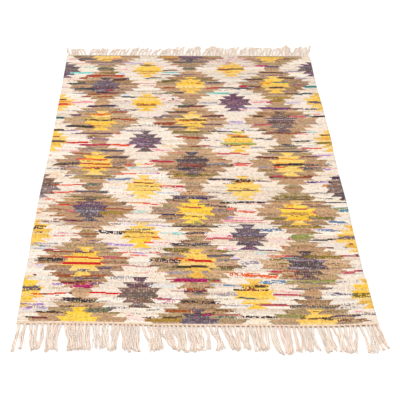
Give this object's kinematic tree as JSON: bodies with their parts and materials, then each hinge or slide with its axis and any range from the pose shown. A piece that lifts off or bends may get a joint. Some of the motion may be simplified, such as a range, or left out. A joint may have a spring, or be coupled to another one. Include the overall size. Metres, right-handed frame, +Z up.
{
  "type": "kilim rug",
  "caption": "Flat-woven cotton kilim rug with serrated diamonds in brown, cream, yellow and dark purple, scrap-yarn streaks and a knotted fringe at each end.",
  "frame": {"origin": "on the floor under the middle of the rug's overall box, fringes included", "axes": "+Z up from the floor, +Y along the rug's length from the near fringe to the far fringe, +X across its width to the right"},
  "size_m": [1.237, 2.053, 0.0046],
  "materials": {
    "weave": "matte weft-faced cotton, patterned",
    "fringe_yarn": "matte plied cotton yarn"
  },
  "bodies": {
    "root": {"field": "weave", "fringe_near": "fringe_yarn", "fringe_far": "fringe_yarn"}
  },
  "joints": []
}
